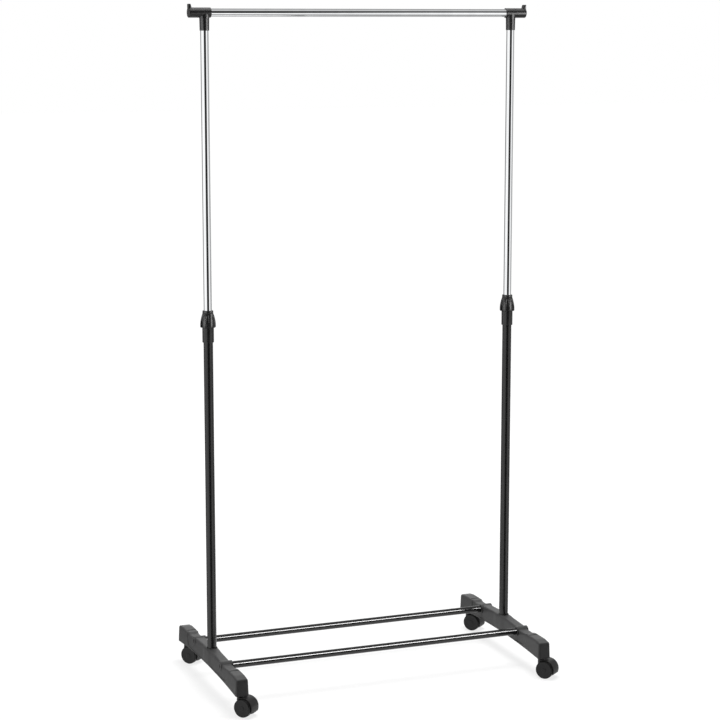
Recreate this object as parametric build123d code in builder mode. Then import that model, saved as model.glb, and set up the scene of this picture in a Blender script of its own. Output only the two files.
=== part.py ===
"""Rolling clothes rack with a height-adjustable hanging rail.

Two moulded feet stand on twin-wheel casters and are tied by two cross rails.
A black tube rises from each foot. A chrome tube slides in it and is held by a
fluted lock knob, and the hanging rail joins the two chrome tubes at the top.

Millimetres. X runs along the hanging rail, +Y to the back and +Z up. The origin
is on the floor, midway between the two uprights.
"""

import os
from math import cos, radians, sin

from build123d import *

os.makedirs("parts", exist_ok=True)

# --- The rack as a whole ---
UPRIGHT_SPACING = 760.0  # between the axes of the two uprights
RAIL_HEIGHT = 1575.0  # axis of the hanging rail, with the mast raised
CROSS_RAIL_OFFSET = 104.0  # each cross rail's axis, in front of and behind the uprights
CROSS_RAIL_HEIGHT = 82.5

# --- Tubes ---
LOWER_OD, LOWER_WALL = 22.0, 0.8
UPPER_OD, UPPER_WALL = 19.0, 0.8
CROSS_OD, CROSS_WALL = 17.0, 1.0
LOWER_TOP = 856.0  # upper end of the black tubes
TUBE_OVERLAP = 66.0  # length of chrome tube left inside the black one when raised

# --- Radial clearances ---
PUSH_FIT = 0.1  # a piece pushed into its socket and left there
RUNNING_FIT = 0.06  # a shaft that turns, or a tube that slides in its guide
PASSING = 0.4  # moving pieces that pass and never touch

# --- Foot moulding ---
FOOT_LENGTH = 464.0
FOOT_WIDTH = 32.0
FOOT_WALL = 2.8
FOOT_BOTTOM = 48.0  # underside at the ends
FOOT_CORNER = 5.5  # plan radius of the ends' corners
FOOT_DRAFT = 2.5  # degrees that the walls lean in towards the top
ARCH_RISE = 10.0  # rise of the underside at the middle
CROWN_HEIGHT, CROWN_HALF = 95.5, 20.0  # flat around the upright
SHOULDER_HEIGHT = 91.6  # top of the moulding over the cross rails
DIP_HEIGHT = 87.5  # saddle between a cross rail and the end pad
PAD_HEIGHT = 90.5  # raised pad over each caster
PAD_LENGTH, PAD_RAMP = 80.0, 5.0
NOSE_HEIGHT, NOSE_LENGTH = 86.5, 26.0  # fall of the pad towards the foot's end
TOP_ROUND = 3.0
CREST_ROUND = 9.0  # at the bends of the top, seen from the side
PANEL_INSET, PANEL_FLOOR = 74.0, 59.0  # recess in each side, from this far inside the ends
PANEL_DEPTH, PANEL_ROUND = 1.2, 22.0
POLE_COLLAR_OD, POLE_COLLAR_RISE = 27.5, 2.0
POLE_SOCKET_FLOOR = 68.0
POLE_WEB = 4.0  # floor of the upright's socket, which the bolt clamps
POLE_BOSS_WALL = 3.0
RAIL_BOSS_OD = 22.6
RAIL_BOSS_LIP = 2.0  # boss standing proud of the inner side
RAIL_BOSS_LINE = 14.0  # outer end of the boss, from the foot's middle
RAIL_SOCKET_DEPTH = 23.0
STEM_BOSS_OD = 17.0
STEM_SOCKET_DEPTH = 32.0
RIB, RIB_PITCH = 2.0, 26.0
RIB_SETBACK = 3.0  # lower edges of the ribs above the rim
CASTER_INSET = 21.0  # each caster's stem, from the foot's end
GROOVE_INSET = 62.0  # grip groove across each pad, from the foot's end
GROOVE_LENGTH, GROOVE_WIDTH, GROOVE_DEPTH = 22.0, 3.6, 2.5

# --- Fasteners ---
BOLT_D, BOLT_HEAD_AF, BOLT_HEAD_H, BOLT_LENGTH = 6.0, 10.0, 4.0, 26.0
WASHER_OD, WASHER_T = 16.0, 1.4
INSERT_LENGTH = 20.0
SCREW_D, SCREW_HEAD_D, SCREW_HEAD_H, SCREW_LENGTH = 4.8, 8.6, 3.0, 20.0
SCREW_RECESS = 5.0
RAIL_PLUG_LENGTH = 16.0
THREAD_PLAY = 0.05

# --- Height lock ---
SLEEVE_OD = 27.0
NECK_OD = 25.6
SLEEVE_GRIP = 30.0  # sleeve below the top of the black tube
SLEEVE_SHOULDER = 3.0
EDGE_ROUND = 1.0  # lower edge of the sleeve and upper edge of the knob
NECK_RISE = 19.0  # threaded neck above the top of the black tube
NECK_BORE = 23.0
COLLET_TAIL, COLLET_TIP = 14.0, 15.0  # collet below and above the neck's top
COLLET_FLANGE_OD, COLLET_FLANGE = 25.0, 2.0
COLLET_TIP_OD = 21.4
COLLET_SLIT = 2.0
KNOB_SKIRT, KNOB_LENGTH = 14.0, 39.0  # skirt below the neck's top, and the whole knob
KNOB_TOP_OD, KNOB_CORE_OD, KNOB_SKIRT_OD = 25.0, 30.0, 36.5
KNOB_BELLY = 1.3  # how far the ribs swell beyond a straight taper
KNOB_RIBS, KNOB_RIB_WIDTH = 8, 6.0
KNOB_RIM = 6.0  # plain rim above the ribs
GUIDE_FLANGE, GUIDE_SPIGOT, GUIDE_BORE = 12.0, 16.0, 12.0  # plug in the chrome tube's end

# --- Tee connector ---
TEE_BARREL_OD = 23.0
TEE_INBOARD, TEE_OUTBOARD = 14.5, 38.0  # barrel ends, from the upright's axis
TEE_SOCKET_OD, TEE_MOUTH_OD = 22.6, 21.6
TEE_MOUTH = 1535.0
TEE_WEB = 1.6  # between the hanging rail and the end of the chrome tube
TEE_END_WALL = 6.0
TEE_END_ROUND, TEE_MOUTH_ROUND = 2.5, 1.0
LIP_RISE, LIP_WIDTH, LIP_THICKNESS, LIP_ROOT = 8.0, 14.0, 4.6, 6.9

# --- Caster ---
WHEEL_D = 43.0
WHEEL_INNER, WHEEL_OUTER = 7.4, 20.6  # faces of a wheel, from the caster's middle
HUB_D, RIM, COVER = 11.0, 3.2, 2.6
TREAD_DROP = 0.5  # crown of the tread
DISH_D, DISH_DEPTH = 34.0, 0.7
TRAIL = 17.0  # wheels' axle behind the swivel axis
CASTER_TURN = -51.0  # the way the trailing wheels point, from +X
STEM_D = 8.0
STEM_COLLAR_OD, STEM_COLLAR_T = 15.0, 1.6
STEM_BELOW = 20.0  # stem inside the caster's body
STEM_LEAD, STEM_TIP_TAPER = 0.8, 1.5  # chamfers at the stem's two ends
STEM_SEAT = 1.0  # air above the stem's tip
GRIP_SPLIT = 1.2
GRIP_GROOVE_D, GRIP_LENGTH, GRIP_SETBACK = 6.6, 6.0, 4.0  # split ring near the stem's tip
AXLE_D, AXLE_LENGTH = 5.0, 34.0
FENDER_GAP, FENDER_WALL, FENDER_HALF = 0.8, 1.8, 15.0
FENDER_LOW_ANGLE, FENDER_SPAN = -25.0, 160.0
BODY_HALF = 7.0  # half thickness of the body between the wheels
BODY_CUT = 8.0  # flat underside of the body, below the axle
BODY_DROP = 0.4  # top of the swivel boss, below the stem's collar
BODY_FLOOR = 2.0  # swivel boss below the stem's end

# --- Places worked out from the above ---
HALF_SPACING = UPRIGHT_SPACING / 2
HALF_FOOT = FOOT_LENGTH / 2
CASTER_OFFSET = HALF_FOOT - CASTER_INSET  # in front of and behind the uprights
PAD_START = HALF_FOOT - PAD_LENGTH
PANEL_LINE = HALF_FOOT - PANEL_INSET
GROOVE_OFFSET = HALF_FOOT - GROOVE_INSET
LOWER_ID = LOWER_OD - 2 * LOWER_WALL
UPPER_ID = UPPER_OD - 2 * UPPER_WALL
CROSS_ID = CROSS_OD - 2 * CROSS_WALL
UPPER_TOP = RAIL_HEIGHT - UPPER_OD / 2 - PUSH_FIT - TEE_WEB
UPPER_BOTTOM = LOWER_TOP - TUBE_OVERLAP
BOSS_UNDERSIDE = POLE_SOCKET_FLOOR - POLE_WEB
NECK_TOP = LOWER_TOP + NECK_RISE
COLLET_BOTTOM, COLLET_TOP = NECK_TOP - COLLET_TAIL, NECK_TOP + COLLET_TIP
KNOB_BOTTOM = NECK_TOP - KNOB_SKIRT
KNOB_TOP = KNOB_BOTTOM + KNOB_LENGTH
KNOB_RIB_TOP = KNOB_TOP - KNOB_RIM
CROSS_END = FOOT_WIDTH / 2 - RAIL_SOCKET_DEPTH  # in the foot, towards its outer side
SCREW_SEAT = SCREW_RECESS - FOOT_WIDTH / 2  # under the cross rail screw's head
RAIL_LINES = (-CROSS_RAIL_OFFSET, CROSS_RAIL_OFFSET)
WHEEL_R = WHEEL_D / 2
FENDER_R = WHEEL_R + FENDER_GAP + FENDER_WALL
UPRIGHTS = {"left": -HALF_SPACING, "right": HALF_SPACING}
FACING = {"left": 0.0, "right": 180.0}  # the right-hand pieces are turned about
CASTERS = {
    f"{row}_{side}": (x, y)
    for side, x in UPRIGHTS.items()
    for row, y in (("front", -CASTER_OFFSET), ("rear", CASTER_OFFSET))
}


def save(piece, name, *places):
    """Stand a finished piece at its place, or places, and write it as one node."""
    with BuildPart() as placed:
        with Locations(*(places or [Location()])):
            add(piece.part)
    placed.part.label = name
    export_step(placed.part, f"parts/{name}.step")


def ring(name, od, bore, bottom, top):
    """A plain tube or bush on the Z axis."""
    with BuildPart() as tube:
        with BuildSketch(Plane.XY.offset(bottom)):
            Circle(od / 2)
            Circle(bore / 2, mode=Mode.SUBTRACT)
        extrude(amount=top - bottom)
    tube.part.label = name
    return tube


# --- Foot moulding, with its upright on the Z axis and its inner side at +X ---
def foot_block(wall, roof, bottom):
    """The foot's outer form, or the space inside it for a given wall and roof."""
    half = HALF_FOOT - wall
    with BuildPart() as block:
        with BuildSketch(Plane.YZ) as profile:
            with BuildLine():
                top = Polyline(
                    (0, CROWN_HEIGHT - roof),
                    (CROWN_HALF, CROWN_HEIGHT - roof),
                    (CROSS_RAIL_OFFSET, SHOULDER_HEIGHT - roof),
                    (CROSS_RAIL_OFFSET + RAIL_BOSS_OD / 2, DIP_HEIGHT - roof),
                    (PAD_START - PAD_RAMP, DIP_HEIGHT - roof),
                    (PAD_START, PAD_HEIGHT - roof),
                    (HALF_FOOT - NOSE_LENGTH, PAD_HEIGHT - roof),
                    (half, NOSE_HEIGHT - roof),
                    (half, bottom),
                )
                mirror(top, about=Plane.YZ)
                ThreePointArc((half, bottom), (0, bottom + ARCH_RISE), (-half, bottom))
            make_face()
            bends = profile.vertices().filter_by(lambda v: CROWN_HALF <= abs(v.Y) < half)
            fillet(bends, radius=CREST_ROUND)
        extrude(amount=FOOT_WIDTH / 2, both=True)
        with BuildSketch(Plane.XY.offset(bottom)):
            RectangleRounded(FOOT_WIDTH - 2 * wall, 2 * half, FOOT_CORNER - wall)
        extrude(amount=CROWN_HEIGHT, taper=FOOT_DRAFT, mode=Mode.INTERSECT)
    return block


foot_form = foot_block(0, 0, FOOT_BOTTOM)
foot_space = foot_block(FOOT_WALL, FOOT_WALL, FOOT_BOTTOM - ARCH_RISE)

# Bosses and ribs that cross the space under the foot's roof.
with BuildPart() as foot_ribs:
    with BuildSketch(Plane.XY.offset(BOSS_UNDERSIDE)):
        Circle(LOWER_OD / 2 + POLE_BOSS_WALL)
    extrude(amount=CROWN_HEIGHT - BOSS_UNDERSIDE)
    with BuildSketch(Plane.XY.offset(FOOT_BOTTOM)):
        with Locations((0, CASTER_OFFSET), (0, -CASTER_OFFSET)):
            Circle(STEM_BOSS_OD / 2)
    extrude(amount=CROWN_HEIGHT - FOOT_BOTTOM)
    with BuildSketch(Plane.YZ):
        with Locations(*[(y, CROSS_RAIL_HEIGHT) for y in RAIL_LINES]):
            Circle(RAIL_BOSS_OD / 2)
    extrude(amount=FOOT_WIDTH / 2, both=True)
    with BuildSketch(Plane.XY.offset(FOOT_BOTTOM + RIB_SETBACK + ARCH_RISE / 2)):
        with GridLocations(0, RIB_PITCH, 1, int(FOOT_LENGTH / RIB_PITCH)):
            Rectangle(FOOT_WIDTH, RIB)
        Rectangle(RIB, 2 * CASTER_OFFSET)
    extrude(amount=CROWN_HEIGHT)
    with BuildSketch(Plane.XY.offset(PAD_HEIGHT - GROOVE_DEPTH - FOOT_WALL)):
        with Locations((0, GROOVE_OFFSET), (0, -GROOVE_OFFSET)):
            Rectangle(FOOT_WIDTH, GROOVE_WIDTH + 2 * RIB)
    extrude(amount=CROWN_HEIGHT)
    add(foot_space.part, mode=Mode.INTERSECT)

# Recess in each side of the foot: what lies outside a middle slice, over a round-cornered panel.
with BuildPart() as foot_panels:
    with BuildSketch(Plane.YZ):
        with Locations((0, PANEL_FLOOR + FOOT_LENGTH)):
            RectangleRounded(2 * PANEL_LINE, 2 * FOOT_LENGTH, PANEL_ROUND)
    extrude(amount=FOOT_WIDTH, both=True)
    with BuildSketch(Plane.XY.offset(FOOT_BOTTOM)):
        Rectangle(FOOT_WIDTH - 2 * PANEL_DEPTH, FOOT_LENGTH)
    extrude(amount=FOOT_LENGTH, taper=FOOT_DRAFT, mode=Mode.SUBTRACT)

with BuildPart() as foot:
    add(foot_form.part)
    roof = foot.faces().filter_by(lambda face: face.normal_at().Z > 0.5)
    rim = roof.edges().filter_by(lambda edge: abs(edge.center().X) > TOP_ROUND)
    fillet(rim, radius=TOP_ROUND)
    add(foot_panels.part, mode=Mode.SUBTRACT)
    add(foot_space.part, mode=Mode.SUBTRACT)
    add(foot_ribs.part)
    # collar round the upright, and the cross rails' bosses
    with BuildSketch(Plane.XY.offset(POLE_SOCKET_FLOOR)):
        Circle(POLE_COLLAR_OD / 2)
    extrude(amount=CROWN_HEIGHT + POLE_COLLAR_RISE - POLE_SOCKET_FLOOR)
    with BuildSketch(Plane.YZ.offset(-RAIL_BOSS_LINE)):
        with Locations(*[(y, CROSS_RAIL_HEIGHT) for y in RAIL_LINES]):
            Circle(RAIL_BOSS_OD / 2)
    extrude(amount=2 * RAIL_BOSS_LINE + RAIL_BOSS_LIP)
    # sockets
    with Locations((0, 0, CROWN_HEIGHT + POLE_COLLAR_RISE)):
        CounterBoreHole(
            BOLT_D / 2 + PASSING,
            LOWER_OD / 2 + PUSH_FIT,
            CROWN_HEIGHT + POLE_COLLAR_RISE - POLE_SOCKET_FLOOR,
        )
    with BuildSketch(Plane.YZ.offset(CROSS_END)):
        with Locations(*[(y, CROSS_RAIL_HEIGHT) for y in RAIL_LINES]):
            Circle(CROSS_OD / 2 + PUSH_FIT)
    extrude(amount=FOOT_WIDTH, mode=Mode.SUBTRACT)
    with BuildSketch(Plane.YZ.offset(-FOOT_WIDTH / 2)):
        with Locations(*[(y, CROSS_RAIL_HEIGHT) for y in RAIL_LINES]):
            Circle(SCREW_D / 2 + PASSING)
    extrude(amount=FOOT_WIDTH, mode=Mode.SUBTRACT)
    with BuildSketch(Plane.YZ.offset(-FOOT_WIDTH / 2)):
        with Locations(*[(y, CROSS_RAIL_HEIGHT) for y in RAIL_LINES]):
            Circle(SCREW_HEAD_D / 2 + PASSING)
    extrude(amount=SCREW_RECESS, mode=Mode.SUBTRACT)
    with BuildSketch(Plane.XY.offset(FOOT_BOTTOM)):
        with Locations((0, CASTER_OFFSET), (0, -CASTER_OFFSET)):
            Circle(STEM_D / 2 + PUSH_FIT)
    extrude(amount=STEM_SOCKET_DEPTH, mode=Mode.SUBTRACT)
    with BuildSketch(Plane.XY.offset(BOSS_UNDERSIDE)):
        Circle(WASHER_OD / 2 + PASSING)
    extrude(amount=-BOSS_UNDERSIDE, mode=Mode.SUBTRACT)
    # grip grooves across the pads
    with BuildSketch(Plane.XY.offset(PAD_HEIGHT - GROOVE_DEPTH)):
        with Locations((0, GROOVE_OFFSET), (0, -GROOVE_OFFSET)):
            SlotOverall(GROOVE_LENGTH, GROOVE_WIDTH)
    extrude(amount=GROOVE_DEPTH * 2, mode=Mode.SUBTRACT)

for side, x in UPRIGHTS.items():
    save(foot, f"foot_{side}", Location((x, 0, 0), (0, 0, FACING[side])))


# --- Cross rails between the feet, with a threaded plug in each end ---
cross_reach = HALF_SPACING - CROSS_END
with BuildPart() as cross_rail:
    with BuildSketch(Plane.YZ.offset(-cross_reach)):
        Circle(CROSS_OD / 2)
        Circle(CROSS_ID / 2, mode=Mode.SUBTRACT)
    extrude(amount=2 * cross_reach)

with BuildPart() as rail_plug:
    with BuildSketch(Plane.YZ.offset(-cross_reach)):
        Circle(CROSS_ID / 2 - PUSH_FIT)
        Circle(SCREW_D / 2 + THREAD_PLAY, mode=Mode.SUBTRACT)
    extrude(amount=RAIL_PLUG_LENGTH)

# Pan-head screw, driven from the foot's outer side.
with BuildPart() as rail_screw:
    with BuildSketch(Plane.YZ.offset(SCREW_SEAT - HALF_SPACING)):
        Circle(SCREW_D / 2)
    extrude(amount=SCREW_LENGTH)
    with BuildSketch(Plane.YZ.offset(SCREW_SEAT - HALF_SPACING)):
        Circle(SCREW_HEAD_D / 2)
    extrude(amount=-SCREW_HEAD_H)
    fillet(rail_screw.faces().sort_by(Axis.X)[0].edges(), radius=SCREW_HEAD_H / 3)
    with BuildSketch(Plane.YZ.offset(SCREW_SEAT - HALF_SPACING - SCREW_HEAD_H)):
        Rectangle(SCREW_D, SCREW_D / 4)
        Rectangle(SCREW_D / 4, SCREW_D)
    extrude(amount=SCREW_HEAD_H / 2, mode=Mode.SUBTRACT)

rail_ends = [
    Location((0, y, CROSS_RAIL_HEIGHT), (0, 0, turn))
    for y in RAIL_LINES
    for turn in FACING.values()
]
save(cross_rail, "cross_rail_front", Location((0, -CROSS_RAIL_OFFSET, CROSS_RAIL_HEIGHT)))
save(cross_rail, "cross_rail_rear", Location((0, CROSS_RAIL_OFFSET, CROSS_RAIL_HEIGHT)))
save(rail_plug, "cross_rail_plugs", *rail_ends)
save(rail_screw, "cross_rail_screws", *rail_ends)


# --- Lower uprights, each bolted down through its foot ---
lower_upright = ring("lower_upright", LOWER_OD, LOWER_ID, POLE_SOCKET_FLOOR, LOWER_TOP)
insert = ring(
    "insert",
    LOWER_ID - 2 * PUSH_FIT,
    BOLT_D + 2 * THREAD_PLAY,
    POLE_SOCKET_FLOOR,
    POLE_SOCKET_FLOOR + INSERT_LENGTH,
)
washer = ring("washer", WASHER_OD, BOLT_D + PASSING, BOSS_UNDERSIDE - WASHER_T, BOSS_UNDERSIDE)

with BuildPart() as bolt:
    with BuildSketch(Plane.XY.offset(BOSS_UNDERSIDE - WASHER_T)):
        Circle(BOLT_D / 2)
    extrude(amount=BOLT_LENGTH)
    chamfer(bolt.edges().sort_by(Axis.Z)[-1], length=BOLT_D / 8)
    with BuildSketch(Plane.XY.offset(BOSS_UNDERSIDE - WASHER_T)):
        RegularPolygon(BOLT_HEAD_AF / 2, 6, major_radius=False)
    extrude(amount=-BOLT_HEAD_H)

for side, x in UPRIGHTS.items():
    save(lower_upright, f"lower_upright_{side}", Location((x, 0, 0)))
    save(insert, f"upright_insert_{side}", Location((x, 0, 0)))
save(washer, "upright_washers", *[Location((x, 0, 0)) for x in UPRIGHTS.values()])
save(bolt, "upright_bolts", *[Location((x, 0, 0)) for x in UPRIGHTS.values()])


# --- Height lock: sleeve on the black tube, split collet, and the knob that closes it ---
with BuildPart() as sleeve:
    with BuildSketch(Plane.XZ):
        with BuildLine():
            Polyline(
                (LOWER_OD / 2 + PUSH_FIT, LOWER_TOP - SLEEVE_GRIP),
                (SLEEVE_OD / 2, LOWER_TOP - SLEEVE_GRIP),
                (SLEEVE_OD / 2, KNOB_BOTTOM - PASSING),
                (NECK_OD / 2, KNOB_BOTTOM - PASSING),
                (NECK_OD / 2, NECK_TOP),
                (NECK_BORE / 2, NECK_TOP),
                (NECK_BORE / 2, LOWER_TOP + SLEEVE_SHOULDER),
                (UPPER_OD / 2 + PASSING, LOWER_TOP + SLEEVE_SHOULDER),
                (UPPER_OD / 2 + PASSING, LOWER_TOP),
                (LOWER_OD / 2 + PUSH_FIT, LOWER_TOP),
                close=True,
            )
        make_face()
    revolve(axis=Axis.Z)
    lowest = sleeve.edges().filter_by(GeomType.CIRCLE).group_by(Axis.Z)[0]
    fillet(lowest.sort_by(SortBy.LENGTH)[-1], radius=EDGE_ROUND)

with BuildPart() as collet:
    with BuildSketch(Plane.XZ):
        with BuildLine():
            Polyline(
                (UPPER_OD / 2 + RUNNING_FIT, COLLET_BOTTOM),
                (NECK_BORE / 2 - PUSH_FIT, COLLET_BOTTOM),
                (NECK_BORE / 2 - PUSH_FIT, NECK_TOP),
                (COLLET_FLANGE_OD / 2, NECK_TOP),
                (COLLET_FLANGE_OD / 2, NECK_TOP + COLLET_FLANGE),
                (COLLET_TIP_OD / 2, COLLET_TOP),
                (UPPER_OD / 2 + RUNNING_FIT, COLLET_TOP),
                close=True,
            )
        make_face()
    revolve(axis=Axis.Z)
    with BuildSketch(Plane.XY.offset(COLLET_BOTTOM)):
        with Locations((SLEEVE_OD / 2, 0)):
            Rectangle(SLEEVE_OD, COLLET_SLIT)
    extrude(amount=COLLET_TOP - COLLET_BOTTOM, mode=Mode.SUBTRACT)

# Knob: a bell-shaped core with broad ribs that swell to the skirt.
with BuildPart() as knob_rib:
    with BuildSketch(Plane.XZ):
        with BuildLine():
            Line((KNOB_TOP_OD / 4, KNOB_BOTTOM), (KNOB_SKIRT_OD / 2, KNOB_BOTTOM))
            ThreePointArc(
                (KNOB_SKIRT_OD / 2, KNOB_BOTTOM),
                ((KNOB_SKIRT_OD + KNOB_TOP_OD) / 4 + KNOB_BELLY, (KNOB_BOTTOM + KNOB_RIB_TOP) / 2),
                (KNOB_TOP_OD / 2, KNOB_RIB_TOP),
            )
            Polyline(
                (KNOB_TOP_OD / 2, KNOB_RIB_TOP),
                (KNOB_TOP_OD / 4, KNOB_RIB_TOP),
                (KNOB_TOP_OD / 4, KNOB_BOTTOM),
            )
        make_face()
    extrude(amount=KNOB_RIB_WIDTH / 2, both=True)
    fillet(knob_rib.faces().sort_by(Axis.X)[-1].edges(), radius=KNOB_RIB_WIDTH / 4)

knob_seat = COLLET_FLANGE_OD / 2 + PASSING
with BuildPart() as knob:
    with BuildSketch(Plane.XZ):
        with BuildLine():
            Line((0, KNOB_BOTTOM), (KNOB_CORE_OD / 2, KNOB_BOTTOM))
            ThreePointArc(
                (KNOB_CORE_OD / 2, KNOB_BOTTOM),
                ((KNOB_CORE_OD + KNOB_TOP_OD) / 4 + KNOB_BELLY / 2, (KNOB_BOTTOM + KNOB_TOP) / 2),
                (KNOB_TOP_OD / 2, KNOB_TOP),
            )
            Polyline((KNOB_TOP_OD / 2, KNOB_TOP), (0, KNOB_TOP), (0, KNOB_BOTTOM))
        make_face()
    revolve(axis=Axis.Z)
    fillet(knob.faces().sort_by(Axis.Z)[-1].edges(), radius=EDGE_ROUND)
    with PolarLocations(0, KNOB_RIBS):
        add(knob_rib.part)
    # bore: clear of the threaded neck, then a cone that closes the collet
    with BuildSketch(Plane.XZ):
        with BuildLine():
            Polyline(
                (0, KNOB_BOTTOM),
                (knob_seat + PASSING, KNOB_BOTTOM),
                (knob_seat, NECK_TOP),
                (knob_seat, NECK_TOP + COLLET_FLANGE + PASSING),
                (COLLET_TIP_OD / 2 + PASSING, COLLET_TOP + PASSING),
                (UPPER_OD / 2 + PASSING, COLLET_TOP + PASSING),
                (UPPER_OD / 2 + PASSING, KNOB_TOP),
                (0, KNOB_TOP),
                close=True,
            )
        make_face()
    revolve(axis=Axis.Z, mode=Mode.SUBTRACT)

for side, x in UPRIGHTS.items():
    save(sleeve, f"lock_sleeve_{side}", Location((x, 0, 0)))
    save(collet, f"lock_collet_{side}", Location((x, 0, 0)))
    save(knob, f"lock_knob_{side}", Location((x, 0, 0)))


# --- Mast: chrome tubes on their guide plugs, tee connectors and the hanging rail ---
upper_upright = ring("upper_upright", UPPER_OD, UPPER_ID, UPPER_BOTTOM, UPPER_TOP)

with BuildPart() as guide:
    with BuildSketch(Plane.XY.offset(UPPER_BOTTOM - GUIDE_FLANGE)):
        Circle(LOWER_ID / 2 - RUNNING_FIT)
        Circle(GUIDE_BORE / 2, mode=Mode.SUBTRACT)
    extrude(amount=GUIDE_FLANGE)
    with BuildSketch(Plane.XY.offset(UPPER_BOTTOM)):
        Circle(UPPER_ID / 2 - PUSH_FIT)
        Circle(GUIDE_BORE / 2, mode=Mode.SUBTRACT)
    extrude(amount=GUIDE_SPIGOT)

# Tee connector on the Z axis, with its closed end and lip at +X.
barrel_top = RAIL_HEIGHT + TEE_BARREL_OD / 2
with BuildPart() as tee:
    with BuildSketch(Plane.YZ.offset(-TEE_INBOARD)):
        with Locations((0, RAIL_HEIGHT)):
            Circle(TEE_BARREL_OD / 2)
    extrude(amount=TEE_INBOARD + TEE_OUTBOARD)
    fillet(tee.faces().sort_by(Axis.X)[-1].edges(), radius=TEE_END_ROUND)
    fillet(tee.faces().sort_by(Axis.X)[0].edges(), radius=TEE_MOUTH_ROUND)
    with BuildSketch(Plane.XY.offset(TEE_MOUTH)):
        Circle(TEE_MOUTH_OD / 2)
    with BuildSketch(Plane.XY.offset(RAIL_HEIGHT)):
        Circle(TEE_SOCKET_OD / 2)
    loft()
    with BuildSketch(Plane.XZ) as lip:
        with BuildLine():
            Polyline(
                (TEE_OUTBOARD - LIP_ROOT, RAIL_HEIGHT),
                (TEE_OUTBOARD - LIP_ROOT, barrel_top - EDGE_ROUND),
                (TEE_OUTBOARD - LIP_THICKNESS, barrel_top + LIP_RISE),
                (TEE_OUTBOARD, barrel_top + LIP_RISE),
                (TEE_OUTBOARD, RAIL_HEIGHT),
                close=True,
            )
        make_face()
        fillet(lip.vertices().group_by(Axis.Y)[-1], radius=LIP_THICKNESS / 4)
    extrude(amount=LIP_WIDTH / 2, both=True)
    # blind bores for the hanging rail and the chrome tube
    with BuildSketch(Plane.YZ.offset(-TEE_INBOARD)):
        with Locations((0, RAIL_HEIGHT)):
            Circle(UPPER_OD / 2 + PUSH_FIT)
    extrude(amount=TEE_INBOARD + TEE_OUTBOARD - TEE_END_WALL, mode=Mode.SUBTRACT)
    with BuildSketch(Plane.XY.offset(TEE_MOUTH)):
        Circle(UPPER_OD / 2 + PUSH_FIT)
    extrude(amount=UPPER_TOP - TEE_MOUTH, mode=Mode.SUBTRACT)

rail_reach = HALF_SPACING + TEE_OUTBOARD - TEE_END_WALL
with BuildPart() as hanging_rail:
    with BuildSketch(Plane.YZ.offset(-rail_reach)):
        with Locations((0, RAIL_HEIGHT)):
            Circle(UPPER_OD / 2)
            Circle(UPPER_ID / 2, mode=Mode.SUBTRACT)
    extrude(amount=2 * rail_reach)

for side, x in UPRIGHTS.items():
    save(upper_upright, f"upper_upright_{side}", Location((x, 0, 0)))
    save(guide, f"guide_plug_{side}", Location((x, 0, 0)))
    save(tee, f"tee_connector_{side}", Location((x, 0, 0), (0, 0, 180 - FACING[side])))
save(hanging_rail, "hanging_rail")


# --- Casters, with the swivel axis on Z and the wheels trailing towards +X ---
axle_line = Axis((TRAIL, 0, WHEEL_R), (0, -1, 0))
collar_top = FOOT_BOTTOM
collar_bottom = FOOT_BOTTOM - STEM_COLLAR_T
stem_tip = FOOT_BOTTOM + STEM_SOCKET_DEPTH - STEM_SEAT
grip_bottom = stem_tip - GRIP_SETBACK - GRIP_LENGTH

with BuildPart() as stem:
    with BuildSketch(Plane.XZ):
        with BuildLine():
            Polyline(
                (0, collar_bottom - STEM_BELOW),
                (STEM_D / 2 - STEM_LEAD, collar_bottom - STEM_BELOW),
                (STEM_D / 2, collar_bottom - STEM_BELOW + STEM_LEAD),
                (STEM_D / 2, collar_bottom),
                (STEM_COLLAR_OD / 2, collar_bottom),
                (STEM_COLLAR_OD / 2, collar_top),
                (STEM_D / 2, collar_top),
                (STEM_D / 2, grip_bottom),
                (GRIP_GROOVE_D / 2, grip_bottom),
                (GRIP_GROOVE_D / 2, grip_bottom + GRIP_LENGTH),
                (STEM_D / 2, grip_bottom + GRIP_LENGTH),
                (STEM_D / 2 - STEM_TIP_TAPER, stem_tip),
                (0, stem_tip),
                close=True,
            )
        make_face()
    revolve(axis=Axis.Z)

with BuildPart() as grip_ring:
    with BuildSketch(Plane.XY.offset(grip_bottom)):
        Circle(STEM_D / 2)
        Circle(GRIP_GROOVE_D / 2, mode=Mode.SUBTRACT)
        with Locations((STEM_D / 2, 0)):
            Rectangle(STEM_D / 2, GRIP_SPLIT, mode=Mode.SUBTRACT)
    extrude(amount=GRIP_LENGTH)

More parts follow.
